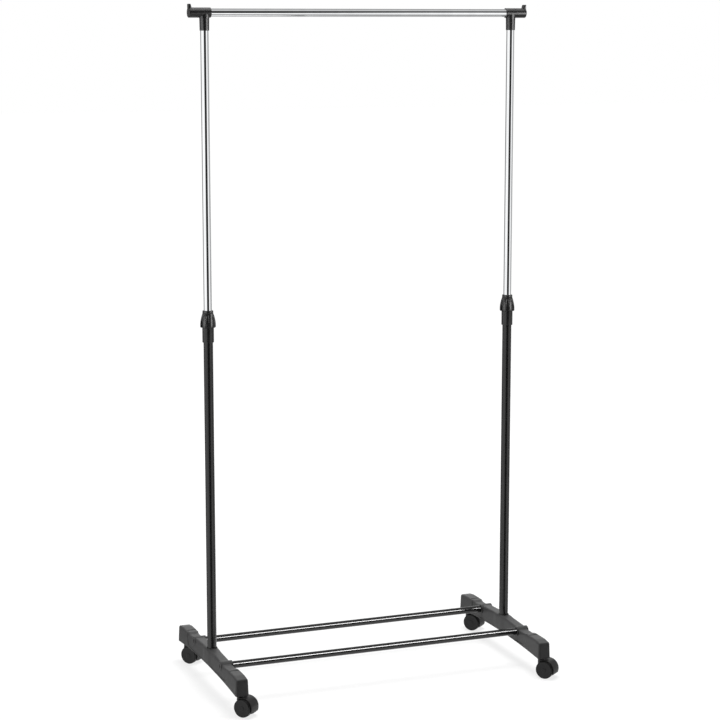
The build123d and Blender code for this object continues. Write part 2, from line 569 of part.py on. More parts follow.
# Body: a fender over the wheels, a web between them and the swivel boss.
fender_low = radians(FENDER_LOW_ANGLE)
with BuildPart() as body:
    fender_plane = Plane(
        origin=(TRAIL, 0, WHEEL_R),
        x_dir=(cos(fender_low), 0, sin(fender_low)),
        z_dir=(-sin(fender_low), 0, cos(fender_low)),
    )
    with BuildSketch(fender_plane) as section:
        with Locations((FENDER_R - FENDER_WALL / 2, 0)):
            Rectangle(FENDER_WALL, 2 * FENDER_HALF)
        fillet(section.vertices().group_by(Axis.X)[-1], radius=FENDER_WALL / 2)
    revolve(axis=axle_line, revolution_arc=FENDER_SPAN)
    with BuildSketch(Plane.XZ):
        with Locations((TRAIL, WHEEL_R)):
            Circle(FENDER_R - FENDER_WALL / 2)
        with Locations((TRAIL, WHEEL_R - BODY_CUT - FENDER_R)):
            Rectangle(4 * FENDER_R, 2 * FENDER_R, mode=Mode.SUBTRACT)
    extrude(amount=BODY_HALF, both=True)
    with BuildSketch(Plane.XY.offset(collar_bottom - STEM_BELOW - BODY_FLOOR)):
        Circle(BODY_HALF)
    extrude(amount=STEM_BELOW + BODY_FLOOR - BODY_DROP)
    with Locations(axle_line.location):
        Hole(AXLE_D / 2 + THREAD_PLAY)
    with BuildSketch(Plane.XY.offset(collar_bottom - STEM_BELOW)):
        Circle(STEM_D / 2 + RUNNING_FIT)
    extrude(amount=2 * STEM_BELOW, mode=Mode.SUBTRACT)

with BuildPart() as axle:
    with BuildSketch(Plane.XZ):
        with Locations((TRAIL, WHEEL_R)):
            Circle(AXLE_D / 2)
    extrude(amount=AXLE_LENGTH / 2, both=True)
    chamfer(axle.edges().filter_by(GeomType.CIRCLE), length=AXLE_D / 10)

# Wheel: a dished cover over a rim and hub, open towards the body.
with BuildPart() as wheel:
    wheel_plane = Plane(origin=(TRAIL, 0, WHEEL_R), x_dir=(1, 0, 0), z_dir=(0, 0, 1))
    with BuildSketch(wheel_plane) as half_section:
        with BuildLine():
            Polyline(
                (AXLE_D / 2 + RUNNING_FIT, WHEEL_INNER),
                (HUB_D / 2, WHEEL_INNER),
                (HUB_D / 2, WHEEL_OUTER - COVER),
                (WHEEL_R - RIM, WHEEL_OUTER - COVER),
                (WHEEL_R - RIM, WHEEL_INNER),
                (WHEEL_R - TREAD_DROP, WHEEL_INNER),
                (WHEEL_R, (WHEEL_INNER + WHEEL_OUTER) / 2),
                (WHEEL_R - TREAD_DROP, WHEEL_OUTER - TREAD_DROP),
                (WHEEL_R - 4 * TREAD_DROP, WHEEL_OUTER),
                (DISH_D / 2, WHEEL_OUTER),
                (DISH_D / 2 - DISH_DEPTH, WHEEL_OUTER - DISH_DEPTH),
                (HUB_D / 2, WHEEL_OUTER - DISH_DEPTH),
                (HUB_D / 2 - DISH_DEPTH, WHEEL_OUTER),
                (0, WHEEL_OUTER),
                (0, AXLE_LENGTH / 2 + PASSING),
                (AXLE_D / 2 + RUNNING_FIT, AXLE_LENGTH / 2 + PASSING),
                close=True,
            )
        make_face()
    revolve(axis=axle_line)

for name, (x, y) in CASTERS.items():
    spot = Location((x, y, 0))
    turned = Location((x, y, 0), (0, 0, CASTER_TURN))
    save(stem, f"{name}_stem", spot)
    save(body, f"{name}_body", turned)
    save(axle, f"{name}_axle", turned)
    with BuildPart() as far_wheel:
        mirror(wheel.part, about=Plane.XZ)
    save(wheel, f"{name}_wheel_rear", turned)
    save(far_wheel, f"{name}_wheel_front", turned)
save(grip_ring, "stem_grip_rings", *[Location((x, y, 0)) for x, y in CASTERS.values()])
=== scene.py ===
"""Rolling clothes rack: the finished pieces, in the order in which the rack is put together.

Metres, in the frame's own axes: X along the hanging rail, +Y to the back, +Z up, with
the origin on the floor midway between the uprights.
"""

import math

import bmesh
import bpy
import numpy as np
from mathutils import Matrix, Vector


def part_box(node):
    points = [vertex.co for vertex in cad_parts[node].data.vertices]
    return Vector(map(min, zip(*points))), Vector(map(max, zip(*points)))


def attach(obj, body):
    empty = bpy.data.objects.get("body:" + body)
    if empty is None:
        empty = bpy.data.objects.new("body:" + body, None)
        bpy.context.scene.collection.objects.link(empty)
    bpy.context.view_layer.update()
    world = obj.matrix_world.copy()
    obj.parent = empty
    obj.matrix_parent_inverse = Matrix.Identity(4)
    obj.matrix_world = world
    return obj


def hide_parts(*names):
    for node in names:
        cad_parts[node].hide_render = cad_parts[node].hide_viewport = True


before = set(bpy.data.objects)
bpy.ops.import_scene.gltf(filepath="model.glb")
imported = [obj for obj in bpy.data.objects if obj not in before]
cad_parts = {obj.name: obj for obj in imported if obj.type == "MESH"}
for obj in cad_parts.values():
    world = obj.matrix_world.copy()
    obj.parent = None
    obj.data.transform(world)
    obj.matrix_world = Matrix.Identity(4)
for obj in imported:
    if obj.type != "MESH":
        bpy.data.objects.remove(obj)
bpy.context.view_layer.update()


# --- Feet ---
# Two hollow mouldings in charcoal polypropylene, open below and ribbed inside. The walls lean in
# for the mould, each side has a shallow recessed panel, and the top rises to a crown round the
# upright and to a pad over each caster, with a short finger groove across the pad.
SIDES = {"left": -1, "right": 1}
upright_x = {side: sum(c.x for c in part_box(f"lower_upright_{side}")) / 2 for side in SIDES}
foot_low, foot_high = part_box("foot_left")
foot_half_width = 0.0160
foot_half_length = (foot_high.y - foot_low.y) / 2
foot_bottom = foot_low.z
foot_wall = 0.0028
foot_corner = 0.0055  # of the plan
foot_round = 0.0040  # of the top edge
foot_draft = math.tan(math.radians(2.5))
arch_rise = 0.0100
foot_held = 0.1900  # points of a row up to here keep their place along the foot
rail_line = sum(c.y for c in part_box("cross_rail_rear")) / 2
rail_height = sum(c.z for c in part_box("cross_rail_rear")) / 2
rail_boss_radius = 0.0113
caster_line = sum(c.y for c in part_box("rear_left_stem")) / 2
groove_line, groove_half, groove_depth = 0.1700, 0.0018, 0.0042
groove_margin = 0.00498  # from the groove's end to the foot's side
panel_line, panel_floor, panel_corner, panel_depth = 0.1580, 0.0590, 0.0220, 0.0016
panel_slope = 0.0016
web_low, web_high = 0.0640, 0.0680  # floor of the upright's socket
rib_low, rib_pitch, rib_half = 0.0560, 0.0260, 0.0010
rib_gap = 0.0016  # from a rib's top edge to the foot's top


def eased(t):
    """Goes from 0 to 1 as t does, with level ends: 3t^2 - 2t^3."""
    t = np.clip(t, 0, 1)
    return t * t * (3 - 2 * t)


def crest(y):
    """Height of the foot's top at y.

    Straight runs join the crown, the cross rails, the saddle, the pad and the nose. Their mean
    over 8 mm of length rounds the corners. The cylinder of each rail's boss swells through it:
    the higher of the two heights counts, with a soft step from one to the other. All of it lies
    0.2 mm under the solid's top, which leaves room for the step.
    """
    soft, lower = 0.0012, 0.0002
    run_y = np.array([0, 20, 104, 115.3, 147, 152, 206, 232]) / 1000
    run_z = np.array([95.5, 95.5, 91.6, 87.5, 87.5, 90.5, 90.5, 86.5]) / 1000
    spread = np.linspace(-0.004, 0.004, 9)
    mean = np.interp(np.abs(np.asarray(y)[..., None] + spread), run_y, run_z).mean(-1)
    chord = np.maximum(rail_boss_radius**2 - (np.abs(y) - rail_line) ** 2, 0)
    boss = rail_height + np.sqrt(chord)
    return 0.5 * (mean + boss + np.hypot(mean - boss, soft)) - lower


def underside(y):
    """Height of the foot's lower edge at y: a shallow arc, highest at the middle."""
    radius = (foot_half_length**2 + arch_rise**2) / (2 * arch_rise)
    return foot_bottom + arch_rise - radius + np.sqrt(radius**2 - np.asarray(y) ** 2)


def panel(y, z):
    """Depth of the side's recess at (y, z).

    The window is open at the top and has two round lower corners. The distance to its edge is that
    to a rectangle drawn in by the corner radius, less the radius, and the depth falls to nothing
    across a narrow slope there. It also eases away from 36 to 10 mm beside the upright, where the
    wall is thick.
    """
    past_y = np.abs(y) - (panel_line - panel_corner)
    past_z = panel_floor + panel_corner - z
    out = np.hypot(np.maximum(past_y, 0), np.maximum(past_z, 0)) - panel_corner
    out = out + np.minimum(np.maximum(past_y, past_z), 0)
    return panel_depth * eased(0.5 - out / panel_slope) * eased((np.abs(y) - 0.0100) / 0.0260)


def half_samples():
    """Places along one half of a straight side, closer at the rail, the panel's end and the groove."""
    straight = foot_half_length - foot_corner
    edges = groove_line + np.array([-1, 1])[:, None] * (groove_half + np.array([0, 0.00015]))
    runs = [
        (0, 0.036, 17), (0.036, 0.092, 15), (0.092, 0.118, 22), (0.118, 0.134, 6), (0.134, 0.160, 20),
        (0.160, straight, 23),
    ]
    return np.unique(np.concatenate([np.linspace(*run) for run in runs] + [edges.ravel()]))


def foot_plan():
    """Centres of curvature and outward directions round the foot's plan.

    The plan is a rectangle with round corners. A point on it, drawn in by d, is its centre plus
    (corner radius - d) times its outward direction.
    """
    half = half_samples()
    side = np.concatenate([-half[:0:-1], half])
    turn = np.radians(np.linspace(0, 90, 9))[1:-1]
    x, y = foot_half_width - foot_corner, foot_half_length - foot_corner
    end = np.linspace(x, -x, 7)
    one, none = np.ones_like, np.zeros_like
    quarter = [
        (x * one(side), side, one(side), none(side)),
        (x * one(turn), y * one(turn), np.cos(turn), np.sin(turn)),
        (end, y * one(end), none(end), one(end)),
        (-x * one(turn), y * one(turn), -np.sin(turn), np.cos(turn)),
    ]
    first_half = np.concatenate([np.stack(part, -1) for part in quarter])
    return np.concatenate([first_half, -first_half])


plan = foot_plan()


def foot_row(inset, height=0.0):
    """One row of points round the foot, drawn in by `inset`, at one height or at one for each point.

    Past the corner radius the plan is a plain rectangle that shrinks to the foot's middle line.
    Points up to `foot_held` from the middle keep their place along the foot.
    """
    reach = (foot_corner - inset) * np.ones(len(plan))
    past, bow = np.minimum(reach, 0), np.maximum(reach, 0)
    x = plan[:, 0] * (1 + past / (foot_half_width - foot_corner)) + plan[:, 2] * bow
    along = np.abs(plan[:, 1])
    tail = np.maximum(along - foot_held, 0)
    along = np.minimum(along, foot_held) + tail * (1 + past / (foot_half_length - foot_corner - foot_held))
    y = np.sign(plan[:, 1]) * along + plan[:, 3] * bow
    return np.stack([x, y, height * np.ones(len(plan))], -1)


def foot_shell():
    """Rows from the middle line of the top, over the round edge, down the wall, round the rim and
    back up the inside to the middle line of the roof.

    The wall's inset is the draft times its height, plus the panel's depth on the outside. The
    roof's rows are at shares of the way in, and two of them lie at the groove's end.
    """
    edge_rows = 8
    y = plan[:, 1] + plan[:, 3] * foot_corner
    facing_side = np.abs(plan[:, 2])
    low = underside(y)

    def row_under(inset, below):
        row = foot_row(inset)
        row[:, 2] = crest(row[:, 1]) - below
        return row

    def roof_rows(drop, extra, edge):
        start = (crest(y) - drop - foot_bottom) * foot_draft + extra
        inward = np.concatenate([[0, 0.0129, 0.0264], np.linspace(0, 1, 12)[1:]])[::-1]
        flat = [row_under(start + edge + (foot_half_width - start - edge) * s, drop) for s in inward]
        turn = np.radians(np.linspace(90, 0, edge_rows + 1))[1:]
        bend = [row_under(start + edge * (1 - math.cos(a)), drop + edge * (1 - math.sin(a))) for a in turn]
        return np.stack(flat + bend)

    outer = roof_rows(0, panel(y, crest(y)) * facing_side, foot_round)
    top, brow = outer[-1][:, 2], low + 0.0025 + np.maximum(panel_floor - low, 0)
    heights = [brow + (top - brow) * s for s in np.linspace(1, 0, 13)[1:]]
    heights += [low + (brow - low) * s for s in np.linspace(1, 0, 13)[1:-1]]
    wall = [foot_row((z - foot_bottom) * foot_draft + panel(y, z) * facing_side, z) for z in heights]
    lips = ((0, 0.0005), (0.0005, 0), (foot_wall - 0.0005, 0), (foot_wall, 0.0005))
    rim = [foot_row((low - foot_bottom) * foot_draft + inset, low + lift) for inset, lift in lips]
    flat = outer[:-edge_rows]
    groove = np.abs(np.abs(flat[..., 1]) - groove_line) < groove_half + 0.00005
    groove &= np.abs(flat[..., 0]) < foot_half_width - groove_margin
    flat[..., 2] -= groove_depth * groove
    roof = roof_rows(foot_wall, foot_wall, 0.0006)[::-1]
    roof[..., 2] -= 0.0030 * (np.abs(np.abs(roof[..., 1]) - groove_line) < groove_half + 0.0030)
    return np.concatenate([outer, np.stack(wall + rim), roof])


def skin(rows, closed=False):
    """Points and four-sided faces through a grid of rows. Each row runs round to its first point,
    and with `closed` the last row is joined to the first."""
    count, columns = rows.shape[:2]
    index = np.arange(count * columns).reshape(count, columns)
    index = np.vstack([index, index[:1]]) if closed else index
    beside = np.roll(index, -1, 1)
    faces = np.stack([index[:-1], beside[:-1], beside[1:], index[1:]], -1)
    return rows.reshape(-1, 3), faces.reshape(-1, 4)


def rounded(*corners, steps=6):
    """Closed outline from corners given as (across, along, radius).

    Each corner gives way to the curve (1-t)^2 a + 2t(1-t) c + t^2 b, where c is the corner and a
    and b lie one radius along its two sides.
    """
    corners = np.array(corners, float)
    spot, radius = corners[:, :2], corners[:, 2:]

    def along(step):
        side = np.roll(spot, step, 0) - spot
        length = np.linalg.norm(side, axis=1, keepdims=True)
        return spot + side * np.minimum(radius / length, 0.49)

    a, b = along(1), along(-1)
    t = np.linspace(0, 1, steps)[:, None, None]
    curve = (1 - t) ** 2 * a + 2 * t * (1 - t) * spot + t**2 * b
    return curve.transpose(1, 0, 2).reshape(-1, 2)


def turned(outline, centre, axis=(0, 0, 1), steps=72):
    """Points and faces of a closed outline (radius, place along the axis) swept round an axis
    through `centre`: each point is centre + along * axis + radius * (cos * side + sin * up)."""
    axis = np.array(axis, float)
    side = np.cross(axis, (0.0, 0.0, 1.0) if abs(axis[2]) < 0.9 else (0.0, 1.0, 0.0))
    side /= np.linalg.norm(side)
    angle = np.linspace(0, 2 * math.pi, steps, endpoint=False)[None, :, None]
    round_axis = np.cos(angle) * side + np.sin(angle) * np.cross(axis, side)
    radius, along = outline[:, 0, None, None], outline[:, 1, None, None]
    return skin(np.array(centre) + along * axis + radius * round_axis, closed=True)


def bar(outline, start, end, edge=0.0002):
    """Points and faces of a closed outline (x, z) carried along y from start to end.

    Each end is drawn in round a quarter circle of radius `edge`, and closes on the outline's middle.
    """
    middle = outline.mean(0)
    turn = np.radians(np.linspace(90, 0, 5))
    share = 1 - edge * (1 - np.cos(turn)) / np.linalg.norm(outline - middle, axis=1).max()
    drop = edge * (1 - np.sin(turn))
    share = np.concatenate([[0], share, share[::-1], [0]])
    place = np.concatenate([[start], start + drop, end - drop[::-1], [end]])
    across, up = np.moveaxis(middle + (outline - middle) * share[:, None, None], -1, 0)
    return skin(np.stack([across, place[:, None] * np.ones_like(across), up], -1))


def placed(name, data):
    """A new object in the scene."""
    thing = bpy.data.objects.new(name, data)
    bpy.context.scene.collection.objects.link(thing)
    return thing


def make(name, *parts, shift=(0, 0, 0), turn=0.0, crease=32):
    """One mesh object from parts of points and faces, turned about Z and then moved by `shift`.

    Points that meet are merged, which closes seams and poles, faces are turned outwards, and edges
    sharper than `crease` degrees stay crisp.
    """
    mesh = bpy.data.meshes.new(name)
    shape = bmesh.new()
    cos, sin = math.cos(turn), math.sin(turn)
    turning = np.array([[cos, sin, 0], [-sin, cos, 0], [0, 0, 1]])
    for points, faces in parts:
        loose = bpy.data.meshes.new("loose")
        loose.from_pydata((points @ turning + np.array(shift)).tolist(), [], faces.tolist())
        island = bmesh.new()
        island.from_mesh(loose)
        bmesh.ops.remove_doubles(island, verts=island.verts, dist=2e-6)
        bmesh.ops.dissolve_degenerate(island, edges=island.edges, dist=1e-7)
        bmesh.ops.recalc_face_normals(island, faces=island.faces)
        island.to_mesh(loose)
        island.free()
        shape.from_mesh(loose)
        bpy.data.meshes.remove(loose)
    shape.to_mesh(mesh)
    shape.free()
    mesh.shade_smooth()
    mesh.set_sharp_from_angle(angle=math.radians(crease))
    return placed(name, mesh)


def bored(piece, *parts, shift=(0, 0, 0)):
    """Cuts the parts out of a piece, and leaves a plain mesh with edges over 32 degrees crisp."""
    cutter = make("cutter", *parts, shift=shift)
    cut = piece.modifiers.new("cut", "BOOLEAN")
    cut.object = cutter
    cut.operation = "DIFFERENCE"
    cut.solver = "EXACT"
    settled = piece.evaluated_get(bpy.context.evaluated_depsgraph_get())
    whole = bpy.data.meshes.new_from_object(settled)
    piece.modifiers.clear()
    piece.data = whole
    bpy.data.objects.remove(cutter)
    whole.shade_smooth()
    whole.set_sharp_from_angle(angle=math.radians(32))


def fed(node, inputs):
    """The node, with its inputs set to plain values or linked from sockets."""
    for name, value in inputs.items():
        if isinstance(value, bpy.types.NodeSocket):
            node.id_data.links.new(value, node.inputs[name])
        else:
            node.inputs[name].default_value = value
    return node


def finish(name, colour, roughness, metallic=0.0):
    """A material, its node tree and its shader, with the values that are the same all over."""
    material = bpy.data.materials.new(name)
    material.use_nodes = True
    shader = material.node_tree.nodes["Principled BSDF"]
    fed(shader, {"Base Color": (*colour, 1), "Roughness": roughness, "Metallic": metallic})
    return material, material.node_tree, shader


def pattern(tree, scale, detail=3.0, stretch=(1, 1, 1)):
    """Noise on the piece's own coordinates; `scale` is in cycles per metre."""
    place = tree.nodes.new("ShaderNodeTexCoord").outputs["Object"]
    mapping = fed(tree.nodes.new("ShaderNodeMapping"), {"Vector": place, "Scale": stretch})
    noise = tree.nodes.new("ShaderNodeTexNoise")
    fed(noise, {"Vector": mapping.outputs["Vector"], "Scale": scale, "Detail": detail})
    return noise.outputs["Fac"]


def ranged(tree, value, low, high):
    """Noise, which mostly lies between 0.35 and 0.65, stretched to low..high."""
    node = tree.nodes.new("ShaderNodeMapRange")
    fed(node, {"Value": value, "From Min": 0.35, "From Max": 0.65, "To Min": low, "To Max": high})
    return node.outputs["Result"]


def blended(tree, factor, first, second):
    """Colour that goes from first to second with the factor."""
    node = tree.nodes.new("ShaderNodeMix")
    node.data_type = "RGBA"
    return fed(node, {"Factor": factor, "A": (*first, 1), "B": (*second, 1)}).outputs["Result"]


def bumped(tree, shader, height, strength, depth):
    """Small relief from a pattern, `depth` metres deep."""
    node = tree.nodes.new("ShaderNodeBump")
    fed(node, {"Height": height, "Strength": strength, "Distance": depth})
    fed(shader, {"Normal": node.outputs["Normal"]})


def moulded(name, dark, light, rough, shine, grain=0, relief=0.0):
    """Moulded plastic: slow changes of tone, roughness that varies and, with relief, a fine grain."""
    material, tree, shader = finish(name, dark, rough)
    tone = ranged(tree, pattern(tree, 26, 4), 0, 1)
    gloss = ranged(tree, pattern(tree, 140), rough - 0.02, rough + 0.03)
    colour = blended(tree, tone, dark, light)
    fed(shader, {"Base Color": colour, "Roughness": gloss, "Specular IOR Level": shine})
    if relief:
        bumped(tree, shader, pattern(tree, grain, 2), relief, 0.0002)
    return material


def dressed(piece, material, slot, body, *nodes):
    """Finishes a piece, and puts it on its body in place of its CAD nodes."""
    piece.data.materials.clear()
    piece.data.materials.append(material)
    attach(piece, body)
    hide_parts(*nodes)


def foot_ribs():
    """Cross ribs at a steady pitch, and a lengthwise one between the stem sockets in runs from rib
    to rib. Each stops just inside the outer skin of the roof."""
    parts = []
    for place in (np.arange(17) - 8) * rib_pitch:
        top = float(crest(place)) - rib_gap
        outline = np.array([(-0.0124, rib_low), (0.0124, rib_low), (0.0114, top), (-0.0114, top)])
        parts.append(bar(outline, place - rib_half, place + rib_half))
        if place < 0.205:
            ahead = place + rib_pitch
            roof = float(min(crest(place), crest(ahead), crest(place + rib_pitch / 2))) - rib_gap
            web = np.array([(-rib_half, rib_low), (rib_half, rib_low), (rib_half, roof), (-rib_half, roof)])
            parts.append(bar(web, place, ahead))
    return parts


def drill(radius, start, end):
    """Outline of a plain round cutter along its axis."""
    return rounded((0, start, 0), (radius, start, 0), (radius, end, 0), (0, end, 0))


foot_plastic = moulded("foot_plastic", (0.066, 0.066, 0.066), (0.071, 0.071, 0.071), 0.46, 0.32, 1500, 0.08)

pole_boss = rounded(
    (0.0111, web_low, 0), (0.0130, web_low, 0), (0.0130, 0.0967, 0.0012), (0.0119, 0.0967, 0.0005),
    (0.0111, 0.0940, 0.0005),
)
pole_floor = rounded(
    (0.0034, web_low, 0), (0.0120, web_low, 0), (0.0120, web_high, 0), (0.0034, web_high, 0)
)
stem_boss = rounded(
    (0.0041, foot_bottom, 0.0003), (0.0085, foot_bottom, 0.0006), (0.0085, 0.0882, 0), (0.0041, 0.0882, 0)
)
rail_boss = rounded(
    (0.0086, 0.0160, 0.0006), (rail_boss_radius, 0.0160, 0.0012), (rail_boss_radius, -0.0140, 0.0009),
    (0.0047, -0.0140, 0.0005), (0.0047, -0.0110, 0), (0.0028, -0.0110, 0), (0.0028, -0.0070, 0),
    (0.0086, -0.0070, 0),
)
pole_hole = drill(0.0125, 0.0800, 0.1000)
screw_hole = drill(0.0052, -0.0300, -0.0060)
tube_hole = drill(0.0095, 0.0060, 0.0300)
for side, sign in SIDES.items():
    inward = (-sign, 0, 0)
    here = (upright_x[side], 0, 0)
    foot = make(f"foot_{side}_moulding", skin(foot_shell()), shift=here)
    holes = [turned(pole_hole, (0, 0, 0))]
    for y in (-rail_line, rail_line):
        holes += [turned(hole, (0, y, rail_height), inward, 48) for hole in (screw_hole, tube_hole)]
    bored(foot, *holes, shift=here)
    parts = [turned(pole_boss, (0, 0, 0)), turned(pole_floor, (0, 0, 0))] + foot_ribs()
    for y in (-1, 1):
        parts.append(turned(stem_boss, (0, y * caster_line, 0), steps=48))
        parts.append(turned(rail_boss, (0, y * rail_line, rail_height), inward))
    dressed(foot, foot_plastic, "foot_plastic", "base", f"foot_{side}")
    fittings = make(f"foot_{side}_bosses", *parts, shift=here)
    dressed(fittings, foot_plastic, "foot_plastic", "base", f"foot_{side}")


# --- Cross rails ---
# Two 17 mm steel tubes in gloss black paint, pushed into the feet's bosses. A nylon plug in each
# end takes the thread of a blackened pan-head screw, driven from the foot's outer side.
def painted(name, colour, rough, coat):
    """Paint on steel: an almost even colour, with small changes of gloss, under a clear coat."""
    material, tree, shader = finish(name, colour, rough)
    lighter = tuple(1.12 * c for c in colour)
    tone = ranged(tree, pattern(tree, 30, 4), 0, 1)
    gloss = ranged(tree, pattern(tree, 160), rough - 0.03, rough + 0.05)
    fed(shader, {"Base Color": blended(tree, tone, colour, lighter), "Roughness": gloss})
    fed(shader, {"Coat Weight": coat, "Coat Roughness": 0.06})
    return material


def metal(name, colour, rough, streak, relief=0.0):
    """Bare or plated metal, with faint streaks along Z and small changes of gloss."""
    material, tree, shader = finish(name, colour, rough, 1.0)
    duller = tuple(0.93 * c for c in colour)
    tone = ranged(tree, pattern(tree, 60, 4, streak), 0, 1)
    gloss = ranged(tree, pattern(tree, 110, 3, streak), max(rough - 0.02, 0.02), rough + 0.03)
    fed(shader, {"Base Color": blended(tree, tone, colour, duller), "Roughness": gloss})
    if relief:
        bumped(tree, shader, pattern(tree, 900, 2, streak), relief, 0.0001)
    return material


def refinished(material, *nodes):
    """Gives CAD nodes that stay in view their material."""
    for node in nodes:
        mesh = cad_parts[node].data
        mesh.materials.clear()
        mesh.materials.append(material)


gloss_black = painted("gloss_black_paint", (0.006, 0.006, 0.006), 0.13, 0.15)
zinc = metal("zinc_plate", (0.62, 0.63, 0.64), 0.32, (1, 1, 1), 0.15)
nylon = moulded("nylon", (0.026, 0.026, 0.026), (0.030, 0.030, 0.030), 0.42, 0.35, 900, 0.15)
refinished(gloss_black, "cross_rail_front", "cross_rail_rear")
refinished(nylon, "cross_rail_plugs")
refinished(painted("black_oxide", (0.008, 0.008, 0.008), 0.50, 0.0), "cross_rail_screws")


# --- Lower uprights ---
# Two 22 mm steel tubes in satin black powder coat. Each stands in the foot's middle socket, and a
# bolt with a washer clamps it from below through a nylon insert in the tube's end.
powder_black = painted("black_powder_coat", (0.011, 0.011, 0.011), 0.26, 0.1)
for side in SIDES:
    refinished(powder_black, f"lower_upright_{side}")
    refinished(nylon, f"upright_insert_{side}")
refinished(zinc, "upright_bolts", "upright_washers")


# --- Height lock ---
# A moulded sleeve on the top of each black tube ends in a threaded neck. A bell-shaped knob with
# eight broad ribs screws down on it and closes a split nylon collet on the chrome tube.
joint_plastic = moulded("joint_plastic", (0.028, 0.028, 0.028), (0.032, 0.032, 0.032), 0.26, 0.5)
knob_low, knob_high = (corner.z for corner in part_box("lock_knob_left"))
knob_rim = knob_high - 0.0060
core_skirt, core_rim, core_swell = 0.0150, 0.0126, 0.0007
rib_skirt, rim_radius, rib_swell = 0.0181, 0.0124, 0.0013
knob_ribs, rib_flat, rib_flank = 8, 0.0041, 0.0016
sleeve_low, neck_top = (corner.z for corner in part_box("lock_sleeve_left"))
sleeve_top = knob_low - 0.0004
tube_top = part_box("lower_upright_left")[1].z
cap = tube_top + 0.0030
sleeve_radius = (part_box("lock_sleeve_left")[1].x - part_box("lock_sleeve_left")[0].x) / 2
sleeve = rounded(
    (0.0111, sleeve_low, 0.0002), (sleeve_radius, sleeve_low, 0.0012), (sleeve_radius, sleeve_top, 0.0006),
    (0.0128, sleeve_top, 0), (0.0128, neck_top, 0.0003), (0.0115, neck_top, 0.0002),
    (0.0115, cap, 0), (0.0099, cap, 0), (0.0099, tube_top, 0), (0.0111, tube_top, 0),
)


def ring(angle, radius, z):
    """One row of points at these angles round Z. Radius and height are one number or one for each."""
    return np.stack(np.broadcast_arrays(radius * np.cos(angle), radius * np.sin(angle), z), -1)


def knob_shell():
    """Rows up the knob's outside, over its rim and down its bore.

    Outside, the radius at a height is the core's, plus at each rib the rise of the rib above the
    core times a flat-topped wave of the distance round from the rib's middle. Core and rib both
    taper from skirt to rim along a line that swells by a parabola.
    """
    angle = np.linspace(0, 2 * math.pi, knob_ribs * 28, endpoint=False)
    share = math.pi / knob_ribs
    off = (angle + share) % (2 * share) - share

    def wall(z):
        t = np.clip((z - knob_low) / (knob_rim - knob_low), 0, 1)
        core = core_skirt + (core_rim - core_skirt) * t + core_swell * 4 * t * (1 - t)
        rib = rib_skirt + (rim_radius - rib_skirt) * t**1.3 + rib_swell * 4 * t * (1 - t)
        wave = eased((rib_flat - np.abs(off) * rib) / rib_flank)
        return core + np.maximum(rib - core, 0) * wave

    skirt = ((knob_low, 0.0008), (knob_low + 0.0003, 0.0003), (knob_low + 0.0008, 0))
    rows = [(wall(z) - inset, z) for z, inset in skirt]
    rows += [(wall(z), z) for z in np.linspace(knob_low + 0.0015, knob_rim, 26)]
    rows += [
        (rim_radius - 0.0001, knob_rim + 0.0002), (rim_radius + 0.0001, knob_rim + 0.0005),
        (rim_radius + 0.0001, knob_high - 0.0012), (rim_radius - 0.0002, knob_high - 0.0006),
        (rim_radius - 0.0005, knob_high - 0.0002), (rim_radius - 0.0009, knob_high),
    ]
    seat = neck_top + 0.0024
    rows += [
        (0.0103, knob_high), (0.0099, knob_high - 0.0004), (0.0099, seat + 0.0130), (0.0111, seat + 0.0130),
        (0.0129, seat), (0.0129, neck_top), (0.0132, knob_low + 0.0004), (0.0135, knob_low),
    ]
    return skin(np.stack([ring(angle, *row) for row in rows]), closed=True)


for side in SIDES:
    here = (upright_x[side], 0, 0)
    piece = make(f"lock_sleeve_{side}_moulding", turned(sleeve, (0, 0, 0)), shift=here)
    dressed(piece, joint_plastic, "joint_plastic", "base", f"lock_sleeve_{side}")
    knob = make(f"lock_knob_{side}_moulding", knob_shell(), shift=here, crease=50)
    dressed(knob, joint_plastic, "joint_plastic", f"lock_knob_{side}", f"lock_knob_{side}")
    refinished(nylon, f"lock_collet_{side}", f"guide_plug_{side}")


# --- Upper uprights and hanging rail ---
# Bright chrome-plated steel tubes, 19 mm across. The uprights slide in the black tubes on nylon
# guide plugs, and the rail is pushed into the tee connectors at both ends.
chrome = metal("chrome_plate", (0.86, 0.87, 0.88), 0.05, (1, 1, 0.1))
refinished(chrome, "upper_upright_left", "upper_upright_right", "hanging_rail")


# --- Tee connectors ---
# Satin black mouldings. A barrel closed at its outer end takes the rail, a socket under it takes
# the upright, and a lip on the end keeps hangers from sliding off.
hang_height = sum(c.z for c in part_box("hanging_rail")) / 2
tee_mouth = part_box("tee_connector_left")[0].z
tee_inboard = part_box("tee_connector_left")[1].x - upright_x["left"]
tee_outboard = upright_x["left"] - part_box("tee_connector_left")[0].x
barrel_radius, tube_bore = 0.0115, 0.0096
mouth_radius = 0.0108
barrel_floor = tee_outboard - 0.0060
barrel = rounded(
    (tube_bore, -tee_inboard, 0.0003), (barrel_radius, -tee_inboard, 0.0011),
    (barrel_radius, tee_outboard, 0.0026), (0, tee_outboard, 0), (0, barrel_floor, 0),
    (tube_bore, barrel_floor, 0), steps=8,
)
lip_root, lip_face = tee_outboard - 0.0069, tee_outboard - 0.0002
lip_low, lip_top = hang_height + 0.0070, hang_height + barrel_radius + 0.0080


